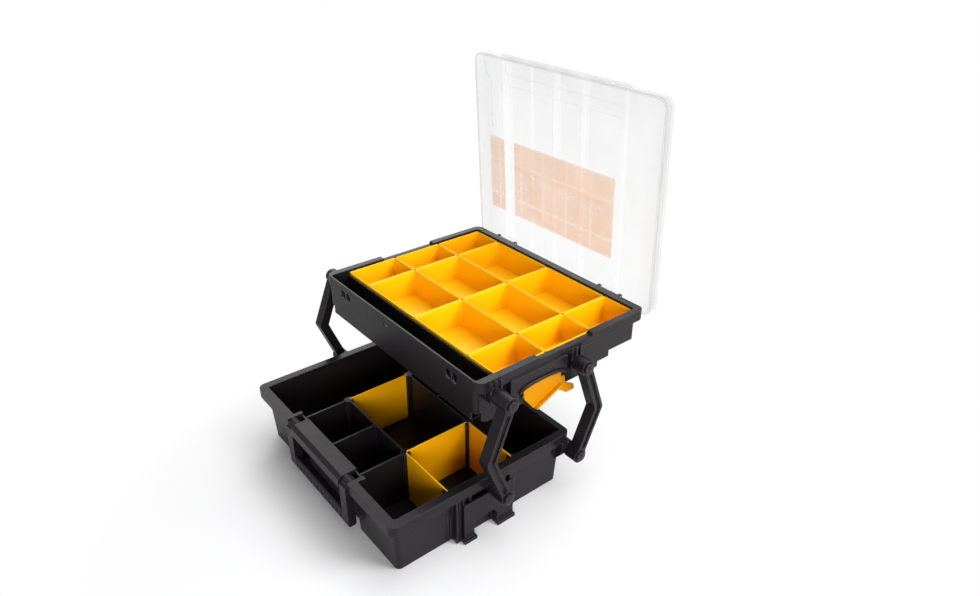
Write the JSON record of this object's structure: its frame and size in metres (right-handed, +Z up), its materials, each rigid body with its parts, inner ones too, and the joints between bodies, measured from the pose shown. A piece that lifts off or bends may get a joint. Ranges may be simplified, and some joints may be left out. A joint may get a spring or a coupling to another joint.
{
  "type": "multi-level organizer case",
  "caption": "Cantilever organizer case: black base tray with yellow dividers, upper tray of lift-out cups on folding side arms, clear hinged cover, side latches and front carry handle.",
  "frame": {"origin": "centre of the lower tray's underside", "axes": "+X to the right of a person facing the carry handle, +Y from the handle to the back, +Z up"},
  "size_m": [0.368, 0.3818, 0.4448],
  "materials": {
    "black_plastic": "satin moulded",
    "pin_plastic": "satin moulded",
    "pin_steel": "brushed",
    "yellow_plastic": "satin",
    "clear_plastic": "frosted clear",
    "label_card": "matt card"
  },
  "bodies": {
    "base": {"lower_tray": "black_plastic", "handle_pins": "pin_steel", "lower_front_pins": "pin_plastic", "lower_rear_pins": "pin_plastic"},
    "handle": {"carry_handle": "black_plastic"},
    "front_arms": {"front_arm_right": "black_plastic", "front_arm_left": "black_plastic"},
    "rear_arms": {"rear_arm_right": "black_plastic", "rear_arm_left": "black_plastic"},
    "upper_case": {"upper_tray": "black_plastic", "upper_front_pins": "pin_plastic", "upper_rear_pins": "pin_plastic", "lid_hinge_pins": "pin_steel", "latch_pins": "pin_steel"},
    "cover": {"lid": "clear_plastic", "lid_label": "label_card"},
    "latch_right": {"latch_right": "yellow_plastic"},
    "latch_left": {"latch_left": "yellow_plastic"},
    "divider_left": {"divider_left": "yellow_plastic"},
    "divider_right": {"divider_right": "yellow_plastic"},
    "divider_front": {"divider_front": "yellow_plastic"},
    "divider_rear": {"divider_rear": "yellow_plastic"},
    "bin_1_1": {"bin_1_1": "yellow_plastic"},
    "bin_1_2": {"bin_1_2": "yellow_plastic"},
    "bin_1_3": {"bin_1_3": "yellow_plastic"},
    "bin_2_1": {"bin_2_1": "yellow_plastic"},
    "bin_2_2": {"bin_2_2": "yellow_plastic"},
    "bin_2_3": {"bin_2_3": "yellow_plastic"},
    "bin_3_1": {"bin_3_1": "yellow_plastic"},
    "bin_3_2": {"bin_3_2": "yellow_plastic"},
    "bin_3_3": {"bin_3_3": "yellow_plastic"},
    "bin_4_1": {"bin_4_1": "yellow_plastic"},
    "bin_4_2": {"bin_4_2": "yellow_plastic"},
    "bin_4_3": {"bin_4_3": "yellow_plastic"}
  },
  "joints": [
    {"name": "front_arm_fold", "type": "hinge", "parent": "base", "child": "front_arms", "pos_m": [0, 0.0062, 0.058], "axis": [-1, 0, 0], "range_deg": [-65.7, 0]},
    {"name": "upper_case_level", "type": "hinge", "parent": "front_arms", "child": "upper_case", "pos_m": [0, 0.00829, 0.17798], "axis": [-1, 0, 0], "range_deg": [0, 65.7]},
    {"name": "rear_arm_fold", "type": "hinge", "parent": "base", "child": "rear_arms", "pos_m": [0, 0.1194, 0.0518], "axis": [-1, 0, 0], "range_deg": [-65.7, 0]},
    {"name": "cover_hinge", "type": "hinge", "parent": "upper_case", "child": "cover", "pos_m": [0, 0.23698, 0.19468], "axis": [-1, 0, 0], "range_deg": [-87, 0]},
    {"name": "latch_right_hinge", "type": "hinge", "parent": "upper_case", "child": "latch_right", "pos_m": [0.152, 0.07458, 0.16848], "axis": [0, -1, 0], "range_deg": [0, 45]},
    {"name": "latch_left_hinge", "type": "hinge", "parent": "upper_case", "child": "latch_left", "pos_m": [-0.152, 0.07458, 0.16848], "axis": [0, 1, 0], "range_deg": [0, 45]},
    {"name": "handle_swing", "type": "hinge", "parent": "base", "child": "handle", "pos_m": [0, -0.117, 0.0658], "axis": [-1, 0, 0], "range_deg": [0, 95]},
    {"name": "divider_left_lift", "type": "slide", "parent": "base", "child": "divider_left", "axis": [0, 0, 1], "range_m": [0, 0.066]},
    {"name": "divider_right_lift", "type": "slide", "parent": "base", "child": "divider_right", "axis": [0, 0, 1], "range_m": [0, 0.066]},
    {"name": "divider_front_lift", "type": "slide", "parent": "base", "child": "divider_front", "axis": [0, 0, 1], "range_m": [0, 0.066]},
    {"name": "divider_rear_lift", "type": "slide", "parent": "base", "child": "divider_rear", "axis": [0, 0, 1], "range_m": [0, 0.066]},
    {"name": "bin_1_1_lift", "type": "slide", "parent": "upper_case", "child": "bin_1_1", "axis": [0, 0, 1], "range_m": [0, 0.04]},
    {"name": "bin_1_2_lift", "type": "slide", "parent": "upper_case", "child": "bin_1_2", "axis": [0, 0, 1], "range_m": [0, 0.04]},
    {"name": "bin_1_3_lift", "type": "slide", "parent": "upper_case", "child": "bin_1_3", "axis": [0, 0, 1], "range_m": [0, 0.04]},
    {"name": "bin_2_1_lift", "type": "slide", "parent": "upper_case", "child": "bin_2_1", "axis": [0, 0, 1], "range_m": [0, 0.04]},
    {"name": "bin_2_2_lift", "type": "slide", "parent": "upper_case", "child": "bin_2_2", "axis": [0, 0, 1], "range_m": [0, 0.04]},
    {"name": "bin_2_3_lift", "type": "slide", "parent": "upper_case", "child": "bin_2_3", "axis": [0, 0, 1], "range_m": [0, 0.04]},
    {"name": "bin_3_1_lift", "type": "slide", "parent": "upper_case", "child": "bin_3_1", "axis": [0, 0, 1], "range_m": [0, 0.04]},
    {"name": "bin_3_2_lift", "type": "slide", "parent": "upper_case", "child": "bin_3_2", "axis": [0, 0, 1], "range_m": [0, 0.04]},
    {"name": "bin_3_3_lift", "type": "slide", "parent": "upper_case", "child": "bin_3_3", "axis": [0, 0, 1], "range_m": [0, 0.04]},
    {"name": "bin_4_1_lift", "type": "slide", "parent": "upper_case", "child": "bin_4_1", "axis": [0, 0, 1], "range_m": [0, 0.04]},
    {"name": "bin_4_2_lift", "type": "slide", "parent": "upper_case", "child": "bin_4_2", "axis": [0, 0, 1], "range_m": [0, 0.04]},
    {"name": "bin_4_3_lift", "type": "slide", "parent": "upper_case", "child": "bin_4_3", "axis": [0, 0, 1], "range_m": [0, 0.04]}
  ],
  "couplings": [
    {"joint": "upper_case_level", "follows": "front_arm_fold", "ratio": -1},
    {"joint": "rear_arm_fold", "follows": "front_arm_fold", "ratio": 1}
  ]
}
